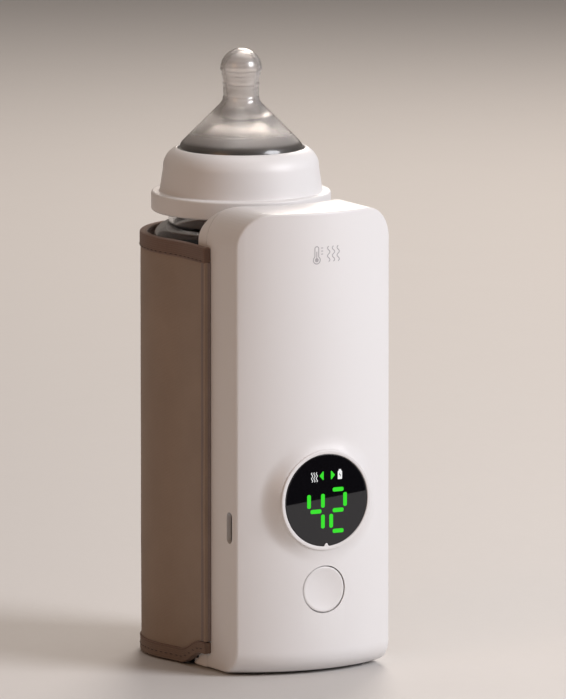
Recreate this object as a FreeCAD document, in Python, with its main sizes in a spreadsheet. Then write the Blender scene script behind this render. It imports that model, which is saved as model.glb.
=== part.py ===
import FreeCAD, Part
import math
import os
import re

import Sketcher
from FreeCAD import Placement, Rotation, Vector

# Portable bottle warmer: a flat upright housing with battery, display and button, a curved
# heating plate in its hollow back, and a soft sleeve that holds a feeding bottle against it.
# Every shape is drawn about the bottle's own upright axis, with the housing towards -Y, and
# is then moved back by bottle_axis_y, so that the origin lies under the middle of the object.

DIMENSIONS = {
    # housing
    "half_width": 31.3,
    "housing_base": 0.8,
    "housing_top": 167.9,
    "front_reach": 63.4,
    "front_radius": 59.0,
    "corner_radius": 12.5,
    "toe_radius": 8.5,
    "soft_edge": 0.8,
    "wall": 1.8,
    "seam_y": 32.1,
    "back_radius": 40.7,
    "fit_gap": 0.1,
    "shelf_back": 16.0,
    "shelf_top": 3.0,
    "shelf_corner": 9.0,
    "foot_radius": 4.0,
    "front_foot_side": 20.0,
    "front_foot_reach": 47.0,
    "rear_foot_side": 18.0,
    "rear_foot_reach": 22.5,
    "rim_back": 22.0,
    "spare": 5.0,
    # display
    "display_height": 63.8,
    "rim_reach": 64.8,
    "rim_radius": 18.1,
    "flare_radius": 23.5,
    "flare_length": 6.0,
    "lens_radius": 16.7,
    "lens_thickness": 1.2,
    "window_radius": 15.0,
    "module_depth": 5.2,
    "digit_thickness": 0.3,
    "digit_offset": 4.55,
    "digit_drop": 3.8,
    "bar_length": 4.7,
    "bar_width": 1.5,
    "segment_pitch": 5.6,
    "segment_rise": 7.55,
    "icon_height": 8.9,
    "arrow_half_height": 1.1,
    "battery_icon_side": 5.5,
    "battery_icon_width": 1.9,
    "battery_icon_length": 3.2,
    "heat_wave_side": 5.9,
    "heat_wave_pitch": 0.9,
    "heat_wave_width": 0.4,
    "module_gap": 0.2,
    "display_board_thickness": 1.2,
    "header_half_width": 8.0,
    "header_drop": 9.0,
    "header_height": 3.0,
    # button
    "button_height": 31.2,
    "button_radius": 8.1,
    "button_gap": 0.3,
    "button_travel": 0.6,
    "button_face": 63.2,
    "button_dish": 1.0,
    "dish_radius": 30.3,
    "flange_radius": 9.6,
    "flange_front": 60.3,
    "flange_thickness": 1.2,
    "stem_radius": 1.7,
    "switch_side": 6.0,
    "switch_depth": 3.5,
    "switch_bore": 1.8,
    "switch_floor": 1.5,
    "stem_entry": 1.1,
    # electronics
    "board_front": 52.6,
    "board_thickness": 1.6,
    "board_width": 50.0,
    "board_low": 14.0,
    "board_high": 81.0,
    "port_height": 53.9,
    "port_slot_width": 4.0,
    "port_slot_length": 11.5,
    "port_width": 3.2,
    "port_length": 8.9,
    "port_depth": 7.3,
    "port_wall": 0.35,
    "port_recess": 0.5,
    "tongue_half_length": 3.3,
    "tongue_setback": 1.0,
    "tongue_thickness": 0.7,
    # battery
    "cell_radius": 9.15,
    "cell_length": 65.0,
    "cell_low": 84.6,
    "cell_side": 19.2,
    "cell_back": 52.05,
    "cell_side_back": 48.2,
    "holder_thickness": 2.0,
    "strip_thickness": 0.2,
    "strip_half_width": 23.0,
    "strip_inset": 5.0,
    "holder_gap": 0.3,
    "cell_room_back": 42.0,
    "battery_lead_side": 10.0,
    "battery_lead_end": 72.0,
    # heating module in the hollow back
    "plate_inner": 34.3,
    "plate_thickness": 1.6,
    "plate_half_width": 24.0,
    "plate_low": 14.0,
    "plate_high": 149.0,
    "film_thickness": 0.3,
    "film_margin": 3.0,
    "sensor_radius": 3.0,
    "sensor_height": 40.0,
    "lead_radius": 0.8,
    "lead_side": 4.0,
    "lead_height": 24.0,
    "lead_gap": 0.3,
    "wall_bore_front": 46.0,
    "wall_bore_back": 38.0,
    "rear_bore_back": 30.0,
    "sensor_ring": 10.0,
    # screws
    "screw_side": 18.0,
    "screw_low": 9.5,
    "screw_high": 158.5,
    "screw_radius": 1.2,
    "screw_head_radius": 2.2,
    "screw_head_depth": 1.4,
    "screw_length": 10.0,
    "boss_radius": 3.3,
    "pillar_radius": 3.6,
    "pillar_front": 44.0,
    "pillar_back": 35.0,
    "boss_length": 15.3,
    # sleeve
    "sleeve_inner": 34.2,
    "lining_thickness": 0.9,
    "sleeve_thickness": 2.8,
    "sleeve_end": 35.6,
    "sleeve_low": 0.6,
    "sleeve_top": 153.8,
    "top_trim_width": 5.9,
    "bottom_trim_width": 5.0,
    "base_radius": 34.0,
    "base_thickness": 2.0,
    "anchor_width": 1.8,
    "anchor_back": 20.0,
    "anchor_front": 26.0,
    # bottle, collar and teat
    "bottle_radius": 32.7,
    "bottle_base": 5.2,
    "bottle_wall": 1.6,
    "heel_radius": 6.0,
    "shoulder_low": 149.0,
    "shoulder_radius": 8.0,
    "neck_radius": 26.2,
    "neck_top": 179.4,
    "collar_base": 161.2,
    "collar_flange_radius": 32.5,
    "collar_flange_top": 168.1,
    "collar_foot_radius": 29.5,
    "collar_side_radius": 28.2,
    "collar_bend_height": 176.4,
    "collar_bend_radius": 7.6,
    "collar_top": 184.1,
    "collar_bore": 26.5,
    "collar_hole": 22.9,
    "collar_lid": 181.6,
    "teat_flange": 26.1,
    "teat_flange_low": 179.5,
    "teat_flange_top": 181.4,
    "teat_shoulder": 22.5,
    "teat_wall": 1.5,
    "teat_step_low": 182.5,
    "teat_step_high": 186.4,
    "teat_step_in": 1.6,
    "teat_step_bend": 5.5,
    "teat_cone_radius": 7.97,
    "teat_cone_top": 199.4,
    "teat_stem": 6.5,
    "stem_bend": 5.0,
    "stem_bend_top": 202.9,
    "stem_foot": 205.0,
    "bulb_height": 212.4,
    "bulb_radius": 7.5,
    "bulb_bend": 28.0,
}

HOUSING_FRONT = "-front_reach + front_radius"
BOTTLE_AXIS_Y = "(rim_reach - sleeve_inner - sleeve_thickness) / 2"

doc = FreeCAD.newDocument("bottle_warmer")
sheet = doc.addObject("Spreadsheet::Sheet", "Dims")
nodes = []


def fill_sheet():
    for row, (alias, value) in enumerate(DIMENSIONS.items(), start=1):
        sheet.set(f"A{row}", alias)
        sheet.set(f"B{row}", str(value))
        sheet.setAlias(f"B{row}", alias)
    doc.recompute()


def formula(text):
    """A formula with each dimension's name led by the sheet's."""
    def lead(match):
        word = match.group()
        return f"Dims.{word}" if word in DIMENSIONS else word
    return re.sub(r"[a-z_]+", lead, str(text))


def number(text):
    return float(sheet.evalExpression(formula(text)))


def bind(item, path, text):
    item.setExpression(path, formula(text))


def bind_place(item, x, y, z):
    for axis, text in zip("xyz", (x, y, z)):
        bind(item, f"Placement.Base.{axis}", text)


# ---------------------------------------------------------------- solids

TURNS = {
    "z": Rotation(),
    "x": Rotation(Vector(0, 1, 0), 90),
    "y": Rotation(Vector(1, 0, 0), -90),
}


def cylinder(name, radius, height, x="0", y="0", z="0", along="z"):
    """A cylinder that starts at x, y, z and runs in the positive direction of an axis."""
    item = doc.addObject("Part::Cylinder", name)
    item.Placement = Placement(Vector(), TURNS[along])
    bind(item, "Radius", radius)
    bind(item, "Height", height)
    bind_place(item, x, y, z)
    return item


def block(name, low, high):
    """A box between two corners, each three formulas."""
    item = doc.addObject("Part::Box", name)
    for side, a, b in zip(("Length", "Width", "Height"), low, high):
        bind(item, side, f"({b}) - ({a})")
    bind_place(item, *low)
    return item


def fuse(name, *items):
    joined = doc.addObject("Part::MultiFuse", name)
    joined.Shapes = list(items)
    joined.Refine = True
    return joined


def overlap(name, *items):
    shared = doc.addObject("Part::MultiCommon", name)
    shared.Shapes = list(items)
    return shared


def cut(name, base, *tools):
    item = doc.addObject("Part::Cut", name)
    item.Base = base
    item.Tool = tools[0] if len(tools) == 1 else fuse(name + "_tools", *tools)
    return item


def group(name, *items):
    """Separate solids that share one node."""
    item = doc.addObject("Part::Compound", name)
    item.Links = list(items)
    return item


def node(label, item):
    """Name a finished sub-part and move it from the bottle's axis to the object's origin."""
    item.Label = label
    own = [text for path, text in item.ExpressionEngine if path.lstrip(".") == "Placement.Base.y"]
    item.setExpression("Placement.Base.y", " + ".join(own + [formula(BOTTLE_AXIS_Y)]))
    nodes.append(item)
    return item


# ---------------------------------------------------------------- sketches

def new_body(name):
    return doc.addObject("PartDesign::Body", name)


def origin_plane(body, role):
    return next(item for item in body.Origin.OriginFeatures if item.Role == role)


def sketch_edge(start, end, radius):
    """A line, or an arc that turns left for a positive radius and right for a negative one."""
    if radius is None:
        return Part.LineSegment(start, end), (1, 2)
    chord = end - start
    left = Vector(-chord.y, chord.x, 0).normalize()
    rise = math.sqrt(max(radius ** 2 - (chord.Length / 2) ** 2, 0))
    centre = (start + end) / 2 + left * math.copysign(rise, radius)
    ends = (start, end) if radius > 0 else (end, start)
    angles = [math.atan2(point.y - centre.y, point.x - centre.x) for point in ends]
    circle = Part.Circle(centre, Vector(0, 0, 1), abs(radius))
    return Part.ArcOfCircle(circle, *angles), ((1, 2) if radius > 0 else (2, 1))


def outline(body, name, plane, points):
    """A closed sketch through points (across, up) or (across, up, radius of the arc to them)."""
    sketch = body.newObject("Sketcher::SketchObject", name)
    sketch.AttachmentSupport = [(origin_plane(body, plane), "")]
    sketch.MapMode = "FlatFace"
    spots = [Vector(number(point[0]), number(point[1]), 0) for point in points]
    radii = [point[2] if len(point) > 2 else None for point in points]
    ends = []
    for i, start in enumerate(spots):
        after = (i + 1) % len(spots)
        radius = None if radii[after] is None else number(radii[after])
        edge, order = sketch_edge(start, spots[after], radius)
        sketch.addGeometry(edge, False)
        ends.append(order)
    for i, (first, last) in enumerate(ends):
        after = (i + 1) % len(ends)
        sketch.addConstraint(Sketcher.Constraint("Coincident", i, last, after, ends[after][0]))
        for kind, value, text in (("DistanceX", spots[i].x, points[i][0]),
                                  ("DistanceY", spots[i].y, points[i][1])):
            index = sketch.addConstraint(Sketcher.Constraint(kind, -1, 1, i, first, value))
            sketch.renameConstraint(index, f"{kind}_{i}")
            bind(sketch, f"Constraints.{kind}_{i}", text)
        if radii[after] is not None:
            size = abs(number(radii[after]))
            index = sketch.addConstraint(Sketcher.Constraint("Radius", i, size))
            sketch.renameConstraint(index, f"Radius_{i}")
            bind(sketch, f"Constraints.Radius_{i}", f"abs({radii[after]})")
    return sketch


def revolved(name, points):
    """A body of revolution about the bottle's axis."""
    body = new_body(name)
    sketch = outline(body, name + "_profile", "XZ_Plane", points)
    turn = body.newObject("PartDesign::Revolution", name + "_turn")
    turn.Profile = sketch
    turn.ReferenceAxis = (sketch, ["V_Axis"])
    turn.Angle = 360
    return body


def raised(name, points, low, high):
    """A body with a plan outline, standing from one height to another."""
    body = new_body(name)
    sketch = outline(body, name + "_plan", "XY_Plane", points)
    bind(sketch, "AttachmentOffset.Base.z", low)
    pad = body.newObject("PartDesign::Pad", name + "_pad")
    pad.Profile = sketch
    bind(pad, "Length", f"({high}) - ({low})")
    return body


def round_edges(body, name, radius, wanted):
    """Round each edge of the body for which wanted(centre, direction) holds."""
    doc.recompute()
    tip = body.Tip
    names = []
    for i, edge in enumerate(tip.Shape.Edges, start=1):
        middle = edge.valueAt((edge.FirstParameter + edge.LastParameter) / 2)
        direction = edge.tangentAt((edge.FirstParameter + edge.LastParameter) / 2)
        if wanted(middle, direction):
            names.append(f"Edge{i}")
    fillet = body.newObject("PartDesign::Fillet", name)
    fillet.Base = (tip, names)
    bind(fillet, "Radius", radius)
    doc.recompute()
    return fillet


def near(a, b):
    return abs(a - b) < 0.01


# ---------------------------------------------------------------- housing

def housing_block(name, inset, back):
    """The housing's outer form, drawn in by inset on every side but the back."""
    half = f"(half_width - {inset})"
    low = f"(housing_base + {inset})"
    high = f"(housing_top - {inset})"
    radius = f"(front_radius - {inset})"
    edge_y = f"{HOUSING_FRONT} - sqrt({radius}^2 - {half}^2)"
    plan = [(f"-{half}", f"-{back}"), (f"-{half}", edge_y), (half, edge_y, radius), (half, f"-{back}")]
    body = raised(name, plan, low, high)
    side, bottom, top, front = number(half), number(low), number(high), number(edge_y)

    def top_side(middle, direction):
        return near(middle.z, top) and near(abs(middle.x), side) and near(abs(direction.y), 1)

    def toe(middle, direction):
        return near(middle.z, bottom) and near(middle.x, 0) and middle.y < front

    round_edges(body, name + "_corners", f"corner_radius - {inset}", top_side)
    round_edges(body, name + "_toe", f"toe_radius - {inset}", toe)
    return body


def soften_front(body, name):
    """Take the sharpness off the rim of the front face."""
    side = number("half_width")
    edge_y = number(f"{HOUSING_FRONT} - sqrt(front_radius^2 - half_width^2)")

    def rim(middle, direction):
        return near(abs(middle.x), side) and near(middle.y, edge_y) and near(abs(direction.z), 1)

    round_edges(body, name, "soft_edge", rim)


def cross_bore(name, radius, x, z, front, back):
    """A round tool along Y between two distances in front of the bottle's axis."""
    return cylinder(name, radius, f"{front} - {back}", x, f"-{front}", z, along="y")


def screw_places():
    return [(side, height) for side in ("-screw_side", "screw_side")
            for height in ("screw_low", "screw_high")]


def port_block(name, left, right, width, length):
    """An upright slot shape with round ends for the charging port, along X."""
    middle = "-(board_front - board_thickness) + port_width / 2"
    straight = f"({length} - {width}) / 2"
    parts = [block(name + "_middle",
                   (left, f"{middle} - {width} / 2", f"port_height - {straight}"),
                   (right, f"{middle} + {width} / 2", f"port_height + {straight}"))]
    for end, sign in (("low", "-"), ("high", "+")):
        parts.append(cylinder(f"{name}_{end}", f"{width} / 2", f"({right}) - ({left})",
                              left, middle, f"port_height {sign} {straight}", along="x"))
    return fuse(name, *parts)


def front_shell():
    outer = housing_block("front_block", "0", "seam_y")
    soften_front(outer, "front_soft_edge")
    flare = doc.addObject("Part::Cone", "display_flare")
    flare.Placement = Placement(Vector(), TURNS["y"])
    bind(flare, "Radius1", "rim_radius")
    bind(flare, "Radius2", "flare_radius")
    bind(flare, "Height", "flare_length")
    bind_place(flare, "0", "-rim_reach", "display_height")
    hollow = housing_block("front_hollow", "wall", "(seam_y - fit_gap)")
    shell = cut("front_walls", fuse("front_form", outer, flare), hollow)
    bosses = [cross_bore(f"front_boss_{i}", "boss_radius", x, z, "(pillar_front + boss_length)", "pillar_front")
              for i, (x, z) in enumerate(screw_places())]
    solid = fuse("front_solid", shell, *bosses)
    inner_front = "(rim_reach - flare_length)"
    cuts = [
        cylinder("front_back_cut", "back_radius", "housing_top + 2 * spare", z="-spare"),
        cross_bore("lens_seat", "lens_radius + fit_gap", "0", "display_height",
                   "(rim_reach + 1)", "(rim_reach - fit_gap - lens_thickness)"),
        cross_bore("display_window", "window_radius", "0", "display_height", "rim_reach",
                   f"({inner_front} - 2)"),
        cross_bore("button_hole", "button_radius + button_gap", "0", "button_height",
                   "(front_reach + 1)", "(flange_front - 2)"),
        port_block("port_slot", "-half_width - 1", "-half_width + wall + port_recess - fit_gap",
                   "port_slot_width", "port_slot_length"),
    ]
    for i, (x, z) in enumerate(screw_places()):
        cuts.append(cross_bore(f"front_pilot_{i}", "screw_radius", x, z,
                               "(pillar_front - 2 + screw_length)", "(pillar_front - 1)"))
    node("front_shell", cut("front_shell", solid, *cuts))


def rear_shell():
    behind = block("behind_seam", ("-half_width", "-seam_y", "0"), ("half_width", "0", "housing_top"))
    rim = overlap("rear_rim_block", housing_block("rear_rim", "0", "rim_back"), behind)
    rim_hollow = housing_block("rear_rim_hollow", "wall", "(rim_back - wall)")
    rim_walls = cut("rear_rim_walls", rim, rim_hollow)
    wall_outer = cylinder("back_wall_outer", "back_radius + wall", "housing_top", z="0")
    wall_room = housing_block("back_wall_room", "(wall + fit_gap)", "rim_back")
    back_wall = overlap("back_wall_disc", wall_outer, wall_room)
    shelf = shelf_plate()
    pillars = [cross_bore(f"rear_pillar_{i}", "pillar_radius", x, z, "pillar_front", "pillar_back")
               for i, (x, z) in enumerate(screw_places())]
    hollow_back = cylinder("rear_back_cut", "back_radius", "housing_top + 2 * spare", z="-spare")
    cuts = [hollow_back]
    for i, (x, z) in enumerate(screw_places()):
        cuts.append(cross_bore(f"rear_clearance_{i}", "screw_radius + fit_gap", x, z,
                               "(pillar_front + 1)", "rear_bore_back"))
        cuts.append(cross_bore(f"rear_counterbore_{i}", "screw_head_radius + fit_gap", x, z,
                               "(pillar_front - 2)", "rear_bore_back"))
    for i, x in enumerate(("-lead_side", "lead_side")):
        cuts.append(cross_bore(f"rear_lead_hole_{i}", "lead_radius + lead_gap", x, "lead_height",
                              "wall_bore_front", "wall_bore_back"))
    shell = cut("rear_walls", fuse("rear_solid", rim_walls, back_wall, *pillars), *cuts)
    node("rear_shell", fuse("rear_shell", shell, shelf))


def shelf_plate():
    """The foot that runs back under the sleeve and carries the bottle."""
    body = raised("shelf", [("-half_width", "-back_radius"), ("half_width", "-back_radius"),
                            ("half_width", "-shelf_back"), ("-half_width", "-shelf_back")],
                  "housing_base", "shelf_top")
    back = number("-shelf_back")

    def rear_corner(middle, direction):
        return near(middle.y, back) and near(abs(direction.z), 1)

    round_edges(body, "shelf_corners", "shelf_corner", rear_corner)
    hollow_back = cylinder("shelf_front", "back_radius", "shelf_top")
    behind = block("shelf_room", ("-half_width", "-seam_y", "0"), ("half_width", "0", "shelf_top"))
    return overlap("shelf_plate", body, fuse("shelf_reach", hollow_back, behind))


def rubber_feet():
    places = [(sign + f"{row}_foot_side", f"-{row}_foot_reach") for row in ("front", "rear")
              for sign in ("-", "")]
    feet = [cylinder(f"foot_{i}", "foot_radius", "housing_base", x, y, "0")
            for i, (x, y) in enumerate(places)]
    node("rubber_feet", group("rubber_feet", *feet))


def housing_screws():
    screws = []
    for i, (x, z) in enumerate(screw_places()):
        shank = cross_bore(f"screw_shank_{i}", "screw_radius", x, z,
                           "(pillar_front - 2 + screw_length)", "(pillar_front - 2)")
        head = cross_bore(f"screw_head_{i}", "screw_head_radius", x, z,
                          "(pillar_front - 2)", "(pillar_front - 2 - screw_head_depth)")
        screws.append(fuse(f"screw_{i}", shank, head))
    node("housing_screws", group("housing_screws", *screws))


# ---------------------------------------------------------------- display

LENS_BACK = "(rim_reach - fit_gap - lens_thickness)"
MODULE_FRONT = f"({LENS_BACK} - digit_thickness)"
MODULE_BACK = f"({MODULE_FRONT} - module_depth)"


def display_lens():
    node("display_lens", cross_bore("display_lens", "lens_radius", "0", "display_height",
                                    "(rim_reach - fit_gap)", LENS_BACK))


def graphic_bar(name, x, z, width, height):
    """A small upright plate just behind the lens, centred on x, z."""
    return block(name,
                 (f"{x} - {width} / 2", f"-{LENS_BACK}", f"display_height + {z} - {height} / 2"),
                 (f"{x} + {width} / 2", f"-{MODULE_FRONT}", f"display_height + {z} + {height} / 2"))


def digit_bars(name, x, lit):
    """The lit bars of one seven-bar figure."""
    across = ("bar_length", "bar_width")
    upright = ("bar_width", "bar_length")
    bars = {
        "top": ("0", "segment_rise", across),
        "middle": ("0", "0", across),
        "bottom": ("0", "-segment_rise", across),
        "upper_left": ("-segment_pitch / 2", "segment_rise / 2", upright),
        "upper_right": ("segment_pitch / 2", "segment_rise / 2", upright),
        "lower_left": ("-segment_pitch / 2", "-segment_rise / 2", upright),
        "lower_right": ("segment_pitch / 2", "-segment_rise / 2", upright),
    }
    return [graphic_bar(f"{name}_{key}", f"({x} + {bars[key][0]})",
                        f"(-digit_drop + {bars[key][1]})", *bars[key][2]) for key in lit]


def display_digits():
    four = digit_bars("four", "-digit_offset", ("upper_left", "middle", "upper_right", "lower_right"))
    two = digit_bars("two", "digit_offset", ("top", "upper_right", "middle", "lower_left", "bottom"))
    node("display_digits", group("display_digits", *four, *two))


def arrow(name, base, point):
    """A small triangle that points along X."""
    body = new_body(name)
    lift = "display_height + icon_height"
    sketch = outline(body, name + "_shape", "XZ_Plane",
                     [(base, f"{lift} - arrow_half_height"), (point, lift),
                      (base, f"{lift} + arrow_half_height")])
    bind(sketch, "AttachmentOffset.Base.z", MODULE_FRONT)
    pad = body.newObject("PartDesign::Pad", name + "_pad")
    pad.Profile = sketch
    bind(pad, "Length", "digit_thickness")
    return body


def display_icons():
    icons = [arrow("arrow_left", "-1.1", "-2.9"), arrow("arrow_right", "1.8", "3.7")]
    case = graphic_bar("battery_icon_case", "battery_icon_side", "icon_height",
                       "battery_icon_width", "battery_icon_length")
    tip = graphic_bar("battery_icon_tip", "battery_icon_side", "(icon_height + 1.8)", "1", "0.6")
    icons.append(fuse("battery_icon", case, tip))
    for i in range(3):
        icons.append(graphic_bar(f"heat_wave_{i}", f"(-heat_wave_side + {i} * heat_wave_pitch)", "icon_height",
                                 "heat_wave_width", "battery_icon_length"))
    node("display_icons", group("display_icons", *icons))


def display_module():
    node("display_module", cross_bore("display_module", "window_radius - module_gap", "0", "display_height",
                                      MODULE_FRONT, MODULE_BACK))
    back = f"({MODULE_BACK} - display_board_thickness)"
    node("display_board", cross_bore("display_board", "window_radius - module_gap", "0", "display_height",
                                     MODULE_BACK, back))
    low = "display_height - header_drop"
    node("display_header", block("display_header", ("-header_half_width", f"-{back}", low),
                                 ("header_half_width", "-board_front", f"{low} + header_height")))


# ---------------------------------------------------------------- button

def button_cap():
    """A dished cap with a flange behind the front wall."""
    cap = cross_bore("cap_disc", "button_radius", "0", "button_height", "button_face", "flange_front")
    flange = cross_bore("cap_flange", "flange_radius", "0", "button_height", "flange_front",
                        "(flange_front - flange_thickness)")
    dish = doc.addObject("Part::Sphere", "cap_dish")
    bind(dish, "Radius", "dish_radius")
    bind_place(dish, "0", "-button_face + button_dish - dish_radius", "button_height")
    node("button_cap", cut("button_cap", fuse("cap_solid", cap, flange), dish))


def tact_switch():
    switch_front = "(board_front + switch_depth)"
    flange_back = "(flange_front - flange_thickness)"
    stem_end = "(board_front + switch_depth - stem_entry)"
    node("switch_stem", cross_bore("switch_stem", "stem_radius", "0", "button_height",
                                   flange_back, stem_end))
    case = block("switch_case", ("-switch_side / 2", f"-{switch_front}", "button_height - switch_side / 2"),
                 ("switch_side / 2", "-board_front", "button_height + switch_side / 2"))
    bore = cross_bore("switch_bore", "switch_bore", "0", "button_height", f"({switch_front} + 1)",
                      "(board_front + switch_floor)")
    node("switch_body", cut("switch_body", case, bore))


# ---------------------------------------------------------------- electronics

def main_board():
    node("main_board", block("main_board",
                             ("-board_width / 2", "-board_front", "board_low"),
                             ("board_width / 2", "-board_front + board_thickness", "board_high")))


def usb_port():
    left = "-half_width + wall + port_recess"
    right = f"{left} + port_depth"
    shell = port_block("port_outside", left, right, "port_width", "port_length")
    bore = port_block("port_inside", f"{left} - 1", f"{right} - 1",
                      "(port_width - 2 * port_wall)", "(port_length - 2 * port_wall)")
    node("usb_socket", cut("usb_socket", shell, bore))
    middle = "-(board_front - board_thickness) + port_width / 2"
    node("usb_tongue", block("usb_tongue",
                             (f"{left} + tongue_setback", f"{middle} - tongue_thickness / 2",
                              "port_height - tongue_half_length"),
                             (f"{right} - tongue_setback", f"{middle} + tongue_thickness / 2",
                              "port_height + tongue_half_length")))


# ---------------------------------------------------------------- battery

def between_walls(name, low, high, inner, outer_inset, half):
    """A level slice of the room between the housing's front and back walls."""
    front = cylinder(name + "_front", f"front_radius - wall - {outer_inset}", f"({high}) - ({low})",
                     "0", HOUSING_FRONT, low)
    room = block(name + "_room", (f"-{half}", "-front_reach", low), (half, "-cell_room_back", high))
    back = cylinder(name + "_back", inner, f"({high}) - ({low}) + 2", z=f"{low} - 1")
    return cut(name, overlap(name + "_slice", front, room), back)


def battery_pack():
    spots = [("-cell_side", "-cell_side_back"), ("0", "-cell_back"), ("cell_side", "-cell_side_back")]
    cells = [cylinder(f"cell_{i}", "cell_radius", "cell_length", x, y, "cell_low")
             for i, (x, y) in enumerate(spots)]
    node("battery_cells", group("battery_cells", *cells))
    cell_high = "(cell_low + cell_length)"
    strip_back = "back_radius + wall + strip_inset"
    strips = [between_walls("strip_low", "cell_low - strip_thickness", "cell_low",
                            strip_back, "strip_inset", "strip_half_width"),
              between_walls("strip_high", cell_high, f"{cell_high} + strip_thickness",
                            strip_back, "strip_inset", "strip_half_width")]
    node("nickel_strips", group("nickel_strips", *strips))
    for label, start in (("battery_holder_lower", "cell_low - strip_thickness - holder_thickness"),
                         ("battery_holder_upper", f"{cell_high} + strip_thickness")):
        node(label, between_walls(label, start, f"{start} + holder_thickness",
                                  "back_radius + wall + holder_gap", "holder_gap",
                                  "(half_width - wall - fit_gap - holder_gap)"))


def battery_leads():
    low = "(cell_low - strip_thickness - holder_thickness)"
    leads = [cylinder(f"battery_lead_{i}", "lead_radius", f"{low} - battery_lead_end", x,
                      "-board_front + board_thickness + lead_radius", "battery_lead_end")
             for i, x in enumerate(("-battery_lead_side", "battery_lead_side"))]
    node("battery_leads", group("battery_leads", *leads))


# ---------------------------------------------------------------- heating module

def curved_panel(name, inner, outer, half, low, high):
    """A panel that follows the bottle, between two radii."""
    ring = cut(name + "_ring", cylinder(name + "_outside", outer, f"({high}) - ({low})", z=low),
               cylinder(name + "_inside", inner, f"({high}) - ({low}) + 2", z=f"{low} - 1"))
    room = block(name + "_room", (f"-{half}", "-50", low), (half, "-10", high))
    return overlap(name, ring, room)


def heating_module():
    plate_outer = "(plate_inner + plate_thickness)"
    film_outer = f"({plate_outer} + film_thickness)"
    plate = curved_panel("plate_panel", "plate_inner", plate_outer, "plate_half_width",
                         "plate_low", "plate_high")
    hole = cross_bore("sensor_hole", "sensor_radius + module_gap", "0", "sensor_height",
                      "wall_bore_back", "rear_bore_back")
    node("heating_plate", cut("heating_plate", plate, hole))
    sensor = cross_bore("sensor_disc", "sensor_radius", "0", "sensor_height",
                        "wall_bore_back", "rear_bore_back")
    ring = curved_panel("sensor_ring", "plate_inner", plate_outer, "sensor_ring",
                        "sensor_height - sensor_ring", "sensor_height + sensor_ring")
    node("temperature_sensor", overlap("temperature_sensor", sensor, ring))
    film = curved_panel("film_panel", plate_outer, film_outer, "(plate_half_width - film_margin)",
                        "plate_low + film_margin", "plate_high - film_margin")
    node("heater_film", film)
    pad = curved_panel("pad_panel", film_outer, "back_radius - fit_gap", "plate_half_width",
                       "plate_low", "plate_high")
    channels = [cross_bore(f"pad_channel_{i}", "lead_radius + lead_gap", x, "lead_height",
                           "wall_bore_front", "rear_bore_back")
                for i, x in enumerate(("-lead_side", "lead_side"))]
    node("insulation_pad", cut("insulation_pad", pad, *channels))
    leads = [cross_bore(f"heater_lead_{i}", "lead_radius", x, "lead_height",
                        "(board_front - board_thickness)", "(plate_inner + plate_thickness + film_thickness + fit_gap)")
             for i, x in enumerate(("-lead_side", "lead_side"))]
    node("heater_leads", group("heater_leads", *leads))


# ---------------------------------------------------------------- sleeve

def sleeve_band(label, inner_step, outer_step, low, high):
    """A band of the sleeve: round behind the bottle, flat along the housing's sides."""
    flat_in = f"(half_width + fit_gap + {inner_step})"
    flat_out = f"(half_width + fit_gap + {outer_step})"
    round_in = f"(sleeve_inner + {inner_step})"
    round_out = f"(sleeve_inner + {outer_step})"
    turn_in = f"-sqrt({round_in}^2 - {flat_in}^2)"
    turn_out = f"-sqrt({round_out}^2 - {flat_out}^2)"
    plan = [
        (flat_out, "-sleeve_end"), (flat_out, turn_out), ("0", round_out, round_out),
        (f"-{flat_out}", turn_out, round_out), (f"-{flat_out}", "-sleeve_end"),
        (f"-{flat_in}", "-sleeve_end"), (f"-{flat_in}", turn_in), ("0", round_in, f"-{round_in}"),
        (flat_in, turn_in, f"-{round_in}"), (flat_in, "-sleeve_end"),
    ]
    node(label, raised(label, plan, low, high))


def sleeve():
    hem_top = "(sleeve_low + bottom_trim_width)"
    trim_low = "(sleeve_top - top_trim_width)"
    sleeve_band("sleeve_lining", "0", "lining_thickness", hem_top, trim_low)
    sleeve_band("sleeve_outer", "lining_thickness", "sleeve_thickness", hem_top, trim_low)
    sleeve_band("sleeve_bottom_trim", "0", "sleeve_thickness", "sleeve_low", hem_top)
    sleeve_band("sleeve_top_trim", "0", "sleeve_thickness", trim_low, "sleeve_top")
    node("sleeve_base", cylinder("sleeve_base", "base_radius", "base_thickness", z="shelf_top"))
    strips = []
    for name, low_x, high_x in (("left", "-half_width", "-half_width + anchor_width"),
                                ("right", "half_width - anchor_width", "half_width")):
        strips.append(block(f"anchor_{name}", (low_x, "-anchor_front", "plate_low"),
                            (high_x, "-anchor_back", "plate_high")))
    hollow = cylinder("anchor_clear", "back_radius", "housing_top")
    rear = block("anchor_room", ("-half_width", "-anchor_front + fit_gap", "0"), ("half_width", "0", "housing_top"))
    node("sleeve_anchor_strips", overlap("sleeve_anchor_strips", group("anchor_strips", *strips), rear))


# ---------------------------------------------------------------- bottle

def bottle():
    inside = "(bottle_radius - bottle_wall)"
    neck_in = "(neck_radius - bottle_wall)"
    step_in = "(bottle_radius - neck_radius)"
    neck_foot = f"shoulder_low + sqrt(shoulder_radius^2 - (shoulder_radius - {step_in})^2)"
    inner_turn = "(shoulder_radius - bottle_wall)"
    heel_in = "(heel_radius - bottle_wall)"
    node("bottle", revolved("bottle", [
        ("0", "bottle_base"),
        ("bottle_radius - heel_radius", "bottle_base"),
        ("bottle_radius", "bottle_base + heel_radius", "heel_radius"),
        ("bottle_radius", "shoulder_low"),
        ("neck_radius", neck_foot, "shoulder_radius"),
        ("neck_radius", "neck_top"),
        (neck_in, "neck_top"),
        (neck_in, f"shoulder_low + sqrt({inner_turn}^2 - ({inner_turn} - {inside} + {neck_in})^2)"),
        (inside, "shoulder_low", f"-{inner_turn}"),
        (inside, "bottle_base + heel_radius"),
        (f"{inside} - {heel_in}", "bottle_base + bottle_wall", f"-{heel_in}"),
        ("0", "bottle_base + bottle_wall"),
    ]))


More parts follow.
